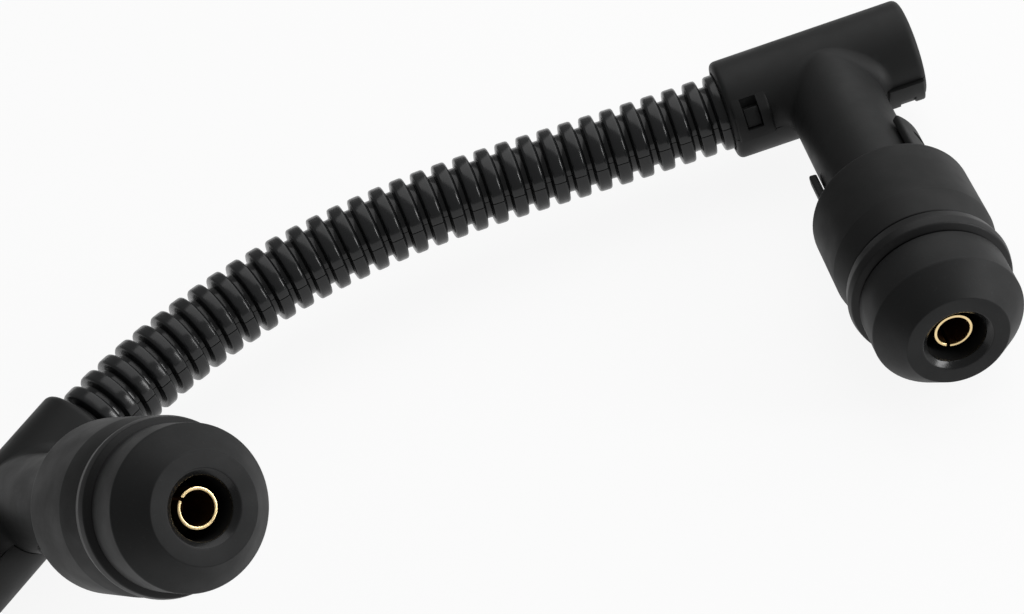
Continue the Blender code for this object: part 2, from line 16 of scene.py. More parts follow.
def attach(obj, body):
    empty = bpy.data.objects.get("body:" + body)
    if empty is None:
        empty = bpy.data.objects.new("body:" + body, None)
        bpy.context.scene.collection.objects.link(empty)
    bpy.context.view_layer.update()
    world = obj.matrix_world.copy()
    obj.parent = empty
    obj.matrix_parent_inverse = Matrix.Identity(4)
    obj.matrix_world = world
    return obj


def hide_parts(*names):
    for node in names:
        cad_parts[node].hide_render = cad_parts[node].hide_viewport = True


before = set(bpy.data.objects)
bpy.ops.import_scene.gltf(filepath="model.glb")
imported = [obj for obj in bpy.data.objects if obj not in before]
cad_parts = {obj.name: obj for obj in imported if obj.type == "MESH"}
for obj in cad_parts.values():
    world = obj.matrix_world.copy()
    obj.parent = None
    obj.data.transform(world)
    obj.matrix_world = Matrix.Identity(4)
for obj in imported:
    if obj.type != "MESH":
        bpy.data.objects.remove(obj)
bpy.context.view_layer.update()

# %% [markdown]
# ## Sizes
#
# The sizes repeat those of the CAD. They are written in millimetres and turned
# into metres once, because a head is easier to think about as 70.8 mm long. Each
# head has its own frame: X along the tee, Z down the neck to the nose. The CAD's
# rounds are faceted, so a finer round of the same size would stand out of its
# box. The outermost rounds are therefore drawn in by a few hundredths.

# %% Sizes of the heads
MM = 0.001
FIT = 0.3
NECK_R = 7.7
NECK_BORE_R = 5.2
NECK_END = 52.6
TEE_R = 8.36
TEE_BORE_R = 6.8
TEE_INLET = 17.4
TEE_OUTLET = 15.6
TEE_RIM = 1.2
RIB_R = 5.6
RIB_X = 12.35
RIB_WIDTH = 0.8
SHELL_BACK = 38.1
SHELL_TAPER_AT = 50.3
SHELL_FRONT = 54.9
SHELL_R = 12.6
SHELL_FRONT_R = 11.8
NOSE_BACK = 59.5
CONE_AT = 66.2
FACE_AT = 70.8
NOSE_R = 11.45
FACE_R = 7.7
RECESS_R = 4.4
RECESS_FLOOR = 58.3
SPIGOT_BORE_R = 8.0
SPIGOT_R = 9.2
SPIGOT_BACK = 45.6
TERMINAL_R = 2.9
TERMINAL_BORE_R = 2.35
TERMINAL_FRONT = 68.5
TERMINAL_BACK = 56.0
TERMINAL_FLOOR = 58.0

# %% Where the two heads stand
HEADS = {
    "left": Matrix.LocRotScale(
        Vector((-0.0724, 0.0234, 0.0103)),
        Euler([math.radians(a) for a in (62.17, -7.03, 25.04)]),
        None,
    ),
    "right": Matrix.LocRotScale(
        Vector((0.0744, 0.0234, 0.0122)),
        Euler([math.radians(a) for a in (89.37, -0.61, -14.54)]),
        None,
    ),
}
TERMINAL_SPIN = {"left": math.radians(105), "right": math.radians(243)}
print("heads stand at", [tuple(round(v, 4) for v in m.translation) for m in HEADS.values()])

# %% [markdown]
# ## Camera
#
# The camera stands about 38 cm away with a long lens, as for a product
# photograph, and it is rolled, because the harness was laid askew in the frame.

# %% Camera
camera_data = bpy.data.cameras.new("camera")
camera_data.sensor_fit = "HORIZONTAL"
camera_data.sensor_width = 36.0
camera_data.lens = 86.43
camera_data.clip_start = 0.01
camera = bpy.data.objects.new("camera", camera_data)
camera.location = (-0.05645, -0.28063, 0.25902)
camera.rotation_euler = [math.radians(a) for a in (48.51, 14.883, -25.428)]
bpy.context.scene.collection.objects.link(camera)
bpy.context.scene.camera = camera
print("camera at", tuple(round(v, 3) for v in camera.location))

# %% [markdown]
# ## Helpers for modelling by hand
#
# Most pieces here are turned parts, so they are drawn the way a turner thinks:
# a point is extruded along the outline, and the outline is spun round the axis.
# Corners are rounded on the outline before it is spun, which gives each edge its
# own radius and keeps the mesh clean. A cutting tool always reaches a little past
# what it cuts, so that no two faces lie in one plane.


# %% Starting and ending a piece
MERGE = MM * 0.002
OVER = 2


def start_fresh():
    """Leaves object mode with nothing selected, so that an operator acts on new work alone."""
    if bpy.context.object and bpy.context.object.mode != "OBJECT":
        bpy.ops.object.mode_set(mode="OBJECT")
    bpy.ops.object.select_all(action="DESELECT")


def pick(piece):
    """Selects one piece alone and makes it the active one."""
    start_fresh()
    piece.select_set(True)
    bpy.context.view_layer.objects.active = piece


def edit(piece):
    """Opens a piece in edit mode with all of it selected."""
    pick(piece)
    bpy.ops.object.mode_set(mode="EDIT")
    bpy.ops.mesh.select_all(action="SELECT")


def leave_edit():
    bpy.ops.object.mode_set(mode="OBJECT")


def settle(piece, matrix=None):
    """Applies a piece's place to its mesh, so that its object sits at the origin."""
    if matrix is not None:
        piece.matrix_world = matrix @ piece.matrix_world
    pick(piece)
    bpy.ops.object.transform_apply(location=True, rotation=True, scale=True)
    return piece


def modify(piece, kind, **settings):
    """Adds one modifier and applies it."""
    pick(piece)
    step = piece.modifiers.new(kind.title(), kind)
    for name, value in settings.items():
        setattr(step, name, value)
    bpy.ops.object.modifier_apply(modifier=step.name)


def carve(piece, tool, operation="DIFFERENCE"):
    """Cuts a piece with a tool or joins the two, and takes the tool away."""
    modify(piece, "BOOLEAN", object=tool, operation=operation, solver="EXACT")
    bpy.data.objects.remove(tool, do_unlink=True)


def clean_seams(piece):
    """Merges the points that cuts leave almost on top of each other."""
    edit(piece)
    bpy.ops.mesh.remove_doubles(threshold=MERGE)
    bpy.ops.mesh.dissolve_degenerate(threshold=MERGE)
    leave_edit()


# %% Rounded outlines
ROUND_STEPS = 5
EDGE_SHARE = 0.49


def rounded(corners, steps=ROUND_STEPS):
    """Outline in millimetres with each (radius, height, rounding) corner turned into an arc."""
    outline = []
    for i, (u, v, size) in enumerate(corners):
        here = Vector((u, v))
        before = Vector(corners[i - 1][:2]) - here
        after = Vector(corners[(i + 1) % len(corners)][:2]) - here
        if size == 0:
            outline.append(here)
            continue
        half = before.angle(after) / 2
        reach = min(size / math.tan(half), before.length * EDGE_SHARE, after.length * EDGE_SHARE)
        start = here + before.normalized() * reach
        end = here + after.normalized() * reach
        for k in range(steps + 1):
            t = k / steps
            outline.append(start * (1 - t) ** 2 + here * 2 * t * (1 - t) + end * t * t)
    return [(p.x * MM, p.y * MM) for p in outline]


# %% Turning an outline into a solid
FINE_TURNS = 96


def drawn(name, start, steps):
    """Line that starts as one point and grows by one edge for each step; it stays open for editing."""
    start_fresh()
    bpy.ops.mesh.primitive_plane_add(size=MM, location=start)
    piece = bpy.context.object
    piece.name = name
    settle(piece)
    edit(piece)
    bpy.ops.mesh.merge(type="CENTER")
    for step in steps:
        bpy.ops.mesh.extrude_vertices_move(TRANSFORM_OT_translate={"value": step})
    return piece


def turned(name, outline, turns=FINE_TURNS):
    """Spins a closed outline of (radius, height) round Z; a corner on the axis closes there."""
    radius, height = outline[0]
    pairs = zip(outline, outline[1:] + outline[:1])
    steps = [(there[0] - here[0], 0, there[1] - here[1]) for here, there in pairs]
    piece = drawn(name, (radius, 0, height), steps)
    bpy.ops.mesh.select_all(action="SELECT")
    bpy.ops.mesh.remove_doubles(threshold=MERGE)
    bpy.ops.mesh.spin(steps=turns, angle=math.tau, center=(0, 0, 0), axis=(0, 0, 1))
    bpy.ops.mesh.select_all(action="SELECT")
    bpy.ops.mesh.remove_doubles(threshold=MERGE)
    bpy.ops.mesh.delete_loose()
    bpy.ops.mesh.select_all(action="SELECT")
    bpy.ops.mesh.normals_make_consistent(inside=False)
    leave_edit()
    return piece


def turned_along_x(name, outline, turns=FINE_TURNS):
    """The same, with the spun shape laid along X."""
    return settle(turned(name, outline, turns), Matrix.Rotation(math.pi / 2, 4, "Y"))


# %% Boxes
def bar(low, high):
    """Box between two corners in millimetres."""
    start_fresh()
    size = [(b - a) * MM for a, b in zip(low, high)]
    centre = [(a + b) / 2 * MM for a, b in zip(low, high)]
    bpy.ops.mesh.primitive_cube_add(size=1, location=centre)
    piece = bpy.context.object
    piece.name = "bar"
    piece.scale = size
    return settle(piece)


# %% Finishing a piece and setting it down on both heads
SMOOTH = math.radians(32)


def shade(piece, angle=SMOOTH):
    """Smooths the shading over all edges flatter than an angle."""
    pick(piece)
    bpy.ops.object.shade_smooth_by_angle(angle=angle)


def finish_piece(piece, node, material):
    """Gives a finished piece its material and the CAD node that it stands for."""
    piece.name = f"{node}_fine"
    piece.data.name = piece.name
    if material:
        piece.data.materials.clear()
        piece.data.materials.append(material)
    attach(piece, "root")
    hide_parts(node)
    print(piece.name, len(piece.data.polygons), "faces")


def set_down(piece, part, material, spins=None):
    """Puts a copy of a head's piece on each head and removes the pattern piece."""
    clean_seams(piece)
    shade(piece)
    for side, stand in HEADS.items():
        copy = bpy.data.objects.new(f"{side}_{part}", piece.data.copy())
        bpy.context.scene.collection.objects.link(copy)
        spin = Matrix.Rotation(spins[side], 4, "Z") if spins else Matrix()
        settle(copy, stand @ spin)
        if "turn" in copy.data.attributes:  # the neck's angles have done their work
            copy.data.attributes.remove(copy.data.attributes["turn"])
        finish_piece(copy, f"{side}_{part}", material)
    bpy.data.objects.remove(piece, do_unlink=True)


# %% [markdown]
# ## Materials
#
# Black moulded plastic is never one flat colour. Under soft light it shows a fine
# grain, a slow change of gloss where the tool was polished less, and a little
# pale dust. One node group makes these values for every plastic and rubber here,
# and each material feeds it its own numbers. The blacks hardly differ in colour:
# their gloss tells housing, shell, nose and ring apart, and the loom has a thin
# coat on top, because a blown tube is glossier than a moulding. Brass is a metal
# and gets a function of its own, with cloudy tarnish.


# %% The shared surface group
def new_group(name, sockets):
    """Empty shader group whose sockets are given as (name, in or out, type, start value)."""
    group = bpy.data.node_groups.new(name, "ShaderNodeTree")
    for label, way, kind, start in sockets:
        socket = group.interface.new_socket(label, in_out=way, socket_type=kind)
        if start is not None:
            socket.default_value = start
    group.nodes.new("NodeGroupInput").name = "In"
    group.nodes.new("NodeGroupOutput").name = "Out"
    return group


def set_inputs(node, **values):
    """Sets inputs by name; a space in a name is written as an underscore."""
    for name, value in values.items():
        node.inputs[name.replace("_", " ")].default_value = value


def add_node(tree, kind, **settings):
    node = tree.nodes.new(kind)
    for name, value in settings.items():
        setattr(node, name, value)
    return node


def open_material(name, colour):
    """Material with nodes, whose colour in the viewport is the given one."""
    material = bpy.data.materials.new(name)
    material.use_nodes = True
    material.diffuse_color = (*colour, 1)
    return material


FLOAT = "NodeSocketFloat"
COLOUR = "NodeSocketColor"
surface = new_group("moulded_surface", [
    ("Colour", "INPUT", COLOUR, (0.02, 0.02, 0.02, 1)),
    ("Dust Colour", "INPUT", COLOUR, (0.12, 0.12, 0.12, 1)),
    ("Dust", "INPUT", FLOAT, 0.05),
    ("Gloss Low", "INPUT", FLOAT, 0.35),
    ("Gloss High", "INPUT", FLOAT, 0.5),
    ("Grain Scale", "INPUT", FLOAT, 3000.0),
    ("Grain Depth", "INPUT", FLOAT, 0.1),
    ("Color", "OUTPUT", COLOUR, None),
    ("Roughness", "OUTPUT", FLOAT, None),
    ("Normal", "OUTPUT", "NodeSocketVector", None),
])
links = surface.links
inside = surface.nodes["In"].outputs
outside = surface.nodes["Out"].inputs
place = add_node(surface, "ShaderNodeTexCoord").outputs["Object"]

# %% Dust: sparse specks of noise that lift the colour
specks = add_node(surface, "ShaderNodeTexNoise")
set_inputs(specks, Scale=2600.0, Detail=2.0)
links.new(place, specks.inputs["Vector"])
sparse = add_node(surface, "ShaderNodeMapRange", clamp=True)
set_inputs(sparse, From_Min=0.62, From_Max=0.78)
links.new(specks.outputs["Fac"], sparse.inputs["Value"])
amount = add_node(surface, "ShaderNodeMath", operation="MULTIPLY")
links.new(sparse.outputs["Result"], amount.inputs[0])
links.new(inside["Dust"], amount.inputs[1])
dusted = add_node(surface, "ShaderNodeMix", data_type="RGBA")
links.new(amount.outputs[0], dusted.inputs["Factor"])
links.new(inside["Colour"], dusted.inputs["A"])
links.new(inside["Dust Colour"], dusted.inputs["B"])
links.new(dusted.outputs["Result"], outside["Color"])

# %% Gloss: large soft patches between the two roughness values
patches = add_node(surface, "ShaderNodeTexNoise")
set_inputs(patches, Scale=180.0, Detail=4.0)
links.new(place, patches.inputs["Vector"])
gloss = add_node(surface, "ShaderNodeMapRange", clamp=True)
set_inputs(gloss, From_Min=0.35, From_Max=0.65)
links.new(patches.outputs["Fac"], gloss.inputs["Value"])
links.new(inside["Gloss Low"], gloss.inputs["To Min"])
links.new(inside["Gloss High"], gloss.inputs["To Max"])
links.new(gloss.outputs["Result"], outside["Roughness"])

# %% Grain: fine noise as a shallow bump
GRAIN_HEIGHT = 0.00008
grain = add_node(surface, "ShaderNodeTexNoise")
set_inputs(grain, Detail=3.0)
links.new(place, grain.inputs["Vector"])
links.new(inside["Grain Scale"], grain.inputs["Scale"])
bump = add_node(surface, "ShaderNodeBump")
set_inputs(bump, Distance=GRAIN_HEIGHT)
links.new(grain.outputs["Fac"], bump.inputs["Height"])
links.new(inside["Grain Depth"], bump.inputs["Strength"])
links.new(bump.outputs["Normal"], outside["Normal"])
print("surface group:", len(surface.nodes), "nodes")


# %% Plastics and rubbers
def moulded(name, colour, low, high, dust=0.05, scale=3000.0, depth=0.1, specular=0.5):
    """Material of moulded plastic or rubber, with its gloss between low and high roughness."""
    material = open_material(name, colour)
    tree = material.node_tree
    shader = tree.nodes["Principled BSDF"]
    shader.inputs["Specular IOR Level"].default_value = specular
    skin = add_node(tree, "ShaderNodeGroup", node_tree=surface)
    dust_colour = [channel * 3 + 0.03 for channel in colour]
    set_inputs(skin, Colour=(*colour, 1), Dust_Colour=(*dust_colour, 1), Dust=dust)
    set_inputs(skin, Gloss_Low=low, Gloss_High=high, Grain_Scale=scale, Grain_Depth=depth)
    tree.links.new(skin.outputs["Color"], shader.inputs["Base Color"])
    tree.links.new(skin.outputs["Roughness"], shader.inputs["Roughness"])
    tree.links.new(skin.outputs["Normal"], shader.inputs["Normal"])
    return material


housing_black = moulded("housing_black", (0.0085, 0.0088, 0.0088), 0.48, 0.58, specular=0.25)
shell_black = moulded("shell_black", (0.0088, 0.0090, 0.0090), 0.56, 0.66, specular=0.25)
nose_black = moulded("nose_black", (0.0085, 0.0088, 0.0090), 0.52, 0.62, dust=0.12, specular=0.25)
mouth_black = moulded("mouth_black", (0.0085, 0.0088, 0.0090), 0.22, 0.30, specular=0.32)
loom_black = moulded(
    "loom_black", (0.0075, 0.0080, 0.0085), 0.48, 0.58, scale=1200.0, depth=0.08, specular=0.08
)
set_inputs(loom_black.node_tree.nodes["Principled BSDF"], Coat_Weight=0.65, Coat_Roughness=0.2)
ring_rubber = moulded("ring_rubber", (0.0065, 0.0066, 0.0068), 0.42, 0.50, dust=0.1, specular=0.25)
silicone = moulded("silicone", (0.32, 0.055, 0.025), 0.35, 0.5)
insulation = moulded("insulation", (0.26, 0.015, 0.012), 0.35, 0.45)
shrink = moulded("shrink", (0.012, 0.012, 0.012), 0.3, 0.45)


# %% Brass
def brass_material(name, bright, dark, low, high):
    """Brass with fine cloudy tarnish between two tones, and its gloss between low and high."""
    material = open_material(name, bright)
    tree = material.node_tree
    shader = tree.nodes["Principled BSDF"]
    set_inputs(shader, Metallic=1.0)
    place = add_node(tree, "ShaderNodeTexCoord").outputs["Object"]
    cloud = add_node(tree, "ShaderNodeTexNoise")
    set_inputs(cloud, Scale=700.0, Detail=5.0)
    tree.links.new(place, cloud.inputs["Vector"])
    tone = add_node(tree, "ShaderNodeMix", data_type="RGBA")
    set_inputs(tone, A=(*bright, 1), B=(*dark, 1))
    tree.links.new(cloud.outputs["Fac"], tone.inputs["Factor"])
    tree.links.new(tone.outputs["Result"], shader.inputs["Base Color"])
    dull = add_node(tree, "ShaderNodeMapRange")
    set_inputs(dull, To_Min=low, To_Max=high)
    tree.links.new(cloud.outputs["Fac"], dull.inputs["Value"])
    tree.links.new(dull.outputs["Result"], shader.inputs["Roughness"])
    return material


brass = brass_material("terminal_brass", (0.93, 0.74, 0.42), (0.82, 0.60, 0.30), 0.14, 0.32)
# Rougher brass whose darker colour is painted shade, for the parts of the terminal deep in the recess
brass_painted_shade = brass_material("terminal_brass_painted_shade", (0.16, 0.085, 0.035), (0.09, 0.045, 0.02), 0.4, 0.6)
print("materials:", len(bpy.data.materials))

# %% [markdown]
# ## The nose
#
# The nose is a turned form: a short cylinder, a cone, a flat face with a recess
# in it, and a spigot that goes up inside the shell. Every edge of a moulding has
# a small radius. The mouth of the recess has a broad, softened chamfer that shines
# more than the rest, so its faces are found by their place and take a second
# material.

# %% Nose
RECESS_CHAMFER = 0.9
nose = turned("nose", rounded([
    (RECESS_R + RECESS_CHAMFER, FACE_AT, 0.5),
    (FACE_R, FACE_AT, 0.3),
    (NOSE_R, CONE_AT, 0.7),
    (NOSE_R, NOSE_BACK, 0.25),
    (SPIGOT_R, NOSE_BACK, 0),
    (SPIGOT_R, SPIGOT_BACK, 0),
    (SPIGOT_BORE_R, SPIGOT_BACK, 0),
    (SPIGOT_BORE_R, NECK_END + FIT, 0),
    (TERMINAL_R + FIT, NECK_END + FIT, 0),
    (TERMINAL_R + FIT, RECESS_FLOOR, 0.2),
    (RECESS_R, RECESS_FLOOR, 0.4),
    (RECESS_R, FACE_AT - RECESS_CHAMFER, 0.5),
]))
nose.data.materials.append(nose_black)
nose.data.materials.append(mouth_black)
for face in nose.data.polygons:
    reach = math.hypot(face.center.x, face.center.y) / MM
    in_mouth = reach < RECESS_R + RECESS_CHAMFER and face.center.z > (FACE_AT - RECESS_CHAMFER * 2) * MM
    face.material_index = 1 if in_mouth else 0
set_down(nose, "nose", None)

# %% [markdown]
# ## The seal ring
#
# The rubber ring bulges between the shell and the nose. Its back edge is sharp
# and stands clear of the shell, so it catches the light as a thin line with a
# dark gap behind it. A squashed torus would give the bulge but not that edge, so
# the ring too is drawn as an outline and spun.

# %% Seal ring
RING_BACK = 55.6
RING_BACK_R = 12.2
RING_BELLY = 57.4
RING_BELLY_R = 12.6
RING_SHOULDER = 58.75
RING_SHOULDER_R = 12.35
RING_FRONT = 59.2
RING_FRONT_R = 11.3
seal_ring = turned("seal_ring", rounded([
    (RING_FRONT_R, RING_FRONT, 0.2),
    (RING_SHOULDER_R, RING_SHOULDER, 0.5),
    (RING_BELLY_R, RING_BELLY, 1.2),
    (RING_BACK_R, RING_BACK, 0.06),
    (SPIGOT_R + FIT, RING_BACK, 0),
    (SPIGOT_R + FIT, RING_FRONT, 0),
]))
set_down(seal_ring, "seal_ring", ring_rubber)

# %% [markdown]
# ## Shapes with a flat outline
#
# Snap arms, frames, tongues and catches all have one flat outline that is carried
# a short way along an axis. The outline is drawn point by point, filled, and
# extruded. Angles turn from the outline's second axis to its first, as they do
# when one looks along the tee.


# %% Outlines round an axis and the shapes carried along it
ARC_STEPS = 16
BEVEL_ANGLE = math.radians(50)


def polar(radius, degrees):
    """Point of the outline at a radius and an angle."""
    turn = math.radians(degrees)
    return radius * math.sin(turn), radius * math.cos(turn)


def arc(radius, start, end):
    """Points along a round stretch from one angle to another."""
    return [polar(radius, start + (end - start) * i / ARC_STEPS) for i in range(ARC_STEPS + 1)]


def arc_band(inner, outer, start, end):
    """Closed outline between two radii and two angles."""
    return arc(outer, start, end) + arc(inner, end, start)


def pressed(outline, low, high, rounding=0.0):
    """Outline of (Y, Z) points in millimetres, filled and carried along X from low to high."""
    start = (low * MM, outline[0][0] * MM, outline[0][1] * MM)
    pairs = zip(outline, outline[1:] + outline[:1])
    steps = [(0, (there[0] - here[0]) * MM, (there[1] - here[1]) * MM) for here, there in pairs]
    piece = drawn("pressed", start, steps)
    bpy.ops.mesh.select_all(action="SELECT")
    bpy.ops.mesh.remove_doubles(threshold=MERGE)
    bpy.ops.mesh.edge_face_add()
    bpy.ops.mesh.extrude_region_move(TRANSFORM_OT_translate={"value": ((high - low) * MM, 0, 0)})
    bpy.ops.mesh.select_all(action="SELECT")
    bpy.ops.mesh.normals_make_consistent(inside=False)
    leave_edit()
    if rounding:
        modify(piece, "BEVEL", width=rounding * MM, segments=3, angle_limit=BEVEL_ANGLE)
    return piece


def pressed_along_z(outline, low, high, rounding=0.0):
    """The same, with the outline's points in (X, Y) and the shape carried along Z."""
    swap = Matrix(((0, 1, 0, 0), (0, 0, 1, 0), (1, 0, 0, 0), (0, 0, 0, 1)))
    return settle(pressed(outline, low, high, rounding), swap)


def spun(piece, degrees):
    """Turns a working piece about the neck's axis."""
    return settle(piece, Matrix.Rotation(math.radians(degrees), 4, "Z"))


# %% [markdown]
# ## The shell
#
# The shell is the sleeve that snaps on to the neck. Its two arms follow the neck
# round, so each is a curved band, joined to the turned sleeve and then pierced by
# the window that drops over the neck's catch.

# %% Shell
ARM_REACH = 13.6
ARM_THICK = 1.3
ARM_HALF_TURN = 26
ARM_CENTRE = 21
ARM_TIP = 3.2
ARM_ROOT = 1.45
ARM_ROUND = 0.35
CATCH_HIGH = 1.4
CATCH_LENGTH = 4.6
CATCH_HALF = 1.5
ARM_INNER = NECK_R + FIT
WINDOW_OVER = 3
BACK_WALL = 2.9
WALL_END = SHELL_BACK + BACK_WALL
shell = turned("shell", rounded([
    (SHELL_FRONT_R, SHELL_FRONT, 0.25),
    (SHELL_R, SHELL_TAPER_AT, 0.9),
    (SHELL_R, SHELL_BACK, 0.9),
    (ARM_INNER, SHELL_BACK, 0.15),
    (ARM_INNER, WALL_END, 0),
    (SPIGOT_R + FIT, WALL_END, 0),
    (SPIGOT_R + FIT, SHELL_FRONT, 0.15),
]))
arm_outline = arc_band(ARM_INNER, ARM_INNER + ARM_THICK, 90 - ARM_HALF_TURN, 90 + ARM_HALF_TURN)
window_low = SHELL_BACK - ARM_REACH + ARM_TIP
window_high = window_low + CATCH_LENGTH + FIT * 2
window_half = CATCH_HALF + FIT
for turn in (ARM_CENTRE, ARM_CENTRE + 180):
    arm = pressed_along_z(arm_outline, SHELL_BACK - ARM_REACH, SHELL_BACK + ARM_ROOT, ARM_ROUND)
    carve(shell, spun(arm, turn), "UNION")
    hole = bar((NECK_R / 2, -window_half, window_low), (NECK_R + WINDOW_OVER, window_half, window_high))
    carve(shell, spun(hole, turn))
set_down(shell, "shell", shell_black)

# %% [markdown]
# ## The tee
#
# The tee is split lengthwise, a little behind its middle. The front half is one
# moulding with the neck, and the rear half is its cover. Each half carries a
# frame with a window on one side and a tongue with a barb on the other. The tee's
# ends are trimmed a little, because a round rim would otherwise stand out of the
# CAD's box, as a round side would.

# %% Outside and bore of the tee
REACH = 30.0
ROW = 1.2
ROW_MARGIN = 3
RIM_STEPS = 8
TRIM = 0.14
RIB_ROUND = 0.2


def tee_body():
    """Tee with rows of faces along it, which keep its shading smooth where the neck runs in."""
    count = int((TEE_OUTLET + TEE_INLET - ROW_MARGIN * 2) / ROW)
    first, last = TEE_OUTLET - ROW_MARGIN, ROW_MARGIN - TEE_INLET
    rows = [(TEE_R, first + (last - first) * i / count, 0) for i in range(count + 1)]
    outlet, inlet = TEE_OUTLET - TRIM, TRIM - TEE_INLET
    outline = [(0, outlet, 0), (TEE_R, outlet, TEE_RIM)] + rows + [(TEE_R, inlet, TEE_RIM), (0, inlet, 0)]
    return turned_along_x("tee", rounded(outline, steps=RIM_STEPS), FINE_TURNS * 2)


def tee_bore():
    """Bore with the two ribs that grip the loom's groove."""
    half = RIB_WIDTH / 2
    return turned_along_x("bore", rounded([
        (0, TEE_OUTLET + OVER, 0),
        (TEE_BORE_R, TEE_OUTLET + OVER, 0),
        (TEE_BORE_R, RIB_X + half, 0),
        (RIB_R, RIB_X + half, RIB_ROUND),
        (RIB_R, RIB_X - half, RIB_ROUND),
        (TEE_BORE_R, RIB_X - half, 0),
        (TEE_BORE_R, half - RIB_X, 0),
        (RIB_R, half - RIB_X, RIB_ROUND),
        (RIB_R, -half - RIB_X, RIB_ROUND),
        (TEE_BORE_R, -half - RIB_X, 0),
        (TEE_BORE_R, -TEE_INLET - OVER, 0),
        (0, -TEE_INLET - OVER, 0),
    ]))


# %% The split between the two halves
SPLIT_OFFSET = 0.6
SPLIT_GAP = 0.16
HOUSING_EDGE = SPLIT_GAP / 2 - SPLIT_OFFSET
COVER_EDGE = -SPLIT_GAP / 2 - SPLIT_OFFSET
SKIN = 0.02
ROOM_ABOVE = 2.4


def behind_housing():
    """Room of the cover: all behind the split, save the neck, which stays whole."""
    room = bar((-REACH, -REACH, -REACH), (REACH, HOUSING_EDGE, TEE_R + ROOM_ABOVE))
    neck = turned("neck_room", rounded([
        (0, REACH, 0),
        (NECK_R + SKIN, REACH, 0),
        (NECK_R + SKIN, FIT / 2, 0),
        (0, FIT / 2, 0),
    ]), FINE_TURNS * 2)
    carve(room, neck)
    return room


def before_cover():
    """Room of the housing: all in front of the split."""
    return bar((-REACH, COVER_EDGE, -REACH), (REACH, REACH, REACH))


# %% [markdown]
# ## Windows and tongues
#
# The halves of the tee hold each other by two latches. A tongue of one half slips
# under a raised frame of the other, and its barb springs out into the window.
# They could be cut from one block, but a latch is easier to change when each of
# its parts has an outline of its own, worked out from the window's two angles.

# %% Snap windows, tongues and barbs
TONGUE_THICK = 0.8
TONGUE_HALF = 1.6
LATCH_IN = 3.8
LATCH_HALF = 1.35
POCKET_R = TEE_BORE_R + TONGUE_THICK + FIT
FRAME_WALL = 1.3
FRAME_R = POCKET_R + FRAME_WALL
FRAME_SUNK = 0.1
FRAME_ROUND = 0.4
FRAME_HALF = 3.1
FRAME_MARGIN = 0.8
FRAME_TURN = 8
PAST_SPLIT = -14
TONGUE_ROOT = -21
FRONT_WINDOW = (8, 43)
REAR_WINDOW = (24, 52)
BARB_SHARE = 0.65
BARB_ROOM = 0.13
BARB_ROUND = 0.12
SLACK = math.degrees(FIT / TEE_R)


def at_latch(outline, end, half, rounding=0.0):
    """Carries an outline over half a width to each side of a side's latch."""
    middle = LATCH_IN - end
    return pressed(outline, middle - half, middle + half, rounding)


def frame_block(end, window):
    """Raised frame over a window, which runs level into the tee at its top."""
    top = window[1] + FRAME_TURN
    crest = top - math.degrees(math.acos(TEE_R / FRAME_R))
    outline = arc(FRAME_R, PAST_SPLIT, crest) + [polar(TEE_R - FRAME_SUNK, top)]
    outline += arc(TEE_BORE_R - FIT, top, PAST_SPLIT)
    return pressed(outline, FRAME_MARGIN - end, FRAME_HALF + LATCH_IN - end, FRAME_ROUND)


def frame_pocket(end, window):
    """Room under the frame for the other half's tongue."""
    outline = arc_band(TEE_BORE_R - FIT, POCKET_R, PAST_SPLIT * 2, window[1] + FRAME_TURN / 2)
    return at_latch(outline, end, TONGUE_HALF + FIT)


def frame_window(end, window):
    """Tool for the window, whose inner side keeps clear of the pocket's."""
    return at_latch(arc_band(TEE_BORE_R - FIT * 1.5, FRAME_R + OVER, *window), end, LATCH_HALF)


def barb_top(window):
    """Angle at which the barb ends and leaves the window's upper third open."""
    return window[0] + (window[1] - window[0]) * BARB_SHARE


def tongue(end, window):
    """Tongue of the half on the other side, which runs under the frame and dips behind its barb."""
    inner, outer = TEE_BORE_R + FIT / 3, TEE_BORE_R + TONGUE_THICK
    dip = barb_top(window) + SLACK / 2
    outline = arc(outer, TONGUE_ROOT, dip) + [polar(inner + FIT / 2, dip + SLACK / 2)]
    outline += [polar(outer, window[1])] + arc(inner, window[1], TONGUE_ROOT)
    return at_latch(outline, end, TONGUE_HALF)


def barb(end, window):
    """Catch on the tongue that shows in the window and fills its lower two thirds."""
    outline = arc_band(TEE_BORE_R + TONGUE_THICK / 2, TEE_R + FIT, window[0] + SLACK / 2, barb_top(window))
    return at_latch(outline, end, LATCH_HALF - BARB_ROOM, BARB_ROUND)


# %% [markdown]
# ## The neck's root
#
# The neck runs into the tee with a soft fillet and no line shows between them. So
# neck and fillet are one skin: a ring is extruded up the neck and then in small
# steps along the path of a ball rolled in the corner. The ball's arc ends a hair
# below the tee's skin, where the two surfaces meet almost level. Each point keeps
# its angle round the neck in an attribute, so that every ring finds its place.

# %% Points of the rolling ball
SIDE_BALL = 2.4
FRONT_BALL = 4.0
SUNK = 0.03
INNER_SHARE = 0.8
INNER_HEIGHT = 2.0


def fillet_point(turn, share):
    """Point of the fillet at an angle round the neck, from the neck at 0 to the tee at 1."""
    ball = SIDE_BALL + (FRONT_BALL - SIDE_BALL) * abs(math.sin(turn))
    across = NECK_R + ball
    x, y = across * math.cos(turn), across * math.sin(turn)
    centre = Vector((x, y, math.sqrt((TEE_R - SUNK + ball) ** 2 - y * y)))
    to_neck = Vector((-math.cos(turn), -math.sin(turn), 0))
    to_tee = -Vector((0, centre.y, centre.z)).normalized()
    return centre + to_neck.slerp(to_tee, share) * ball


def neck_point(turn, height):
    """Point of the neck's side between its end at 0 and the fillet at 1."""
    root = fillet_point(turn, 0)
    return Vector((root.x, root.y, NECK_END + (root.z - NECK_END) * height))


def inner_point(turn):
    """Point inside the tee at which the skin closes."""
    edge = fillet_point(turn, 1)
    return Vector((edge.x * INNER_SHARE, edge.y * INNER_SHARE, INNER_HEIGHT))


# %% Rings extruded from the neck's end to the tee
ROOT_STEPS = 14
NECK_SHARES = (0.3, 0.6, 0.8, 0.92)


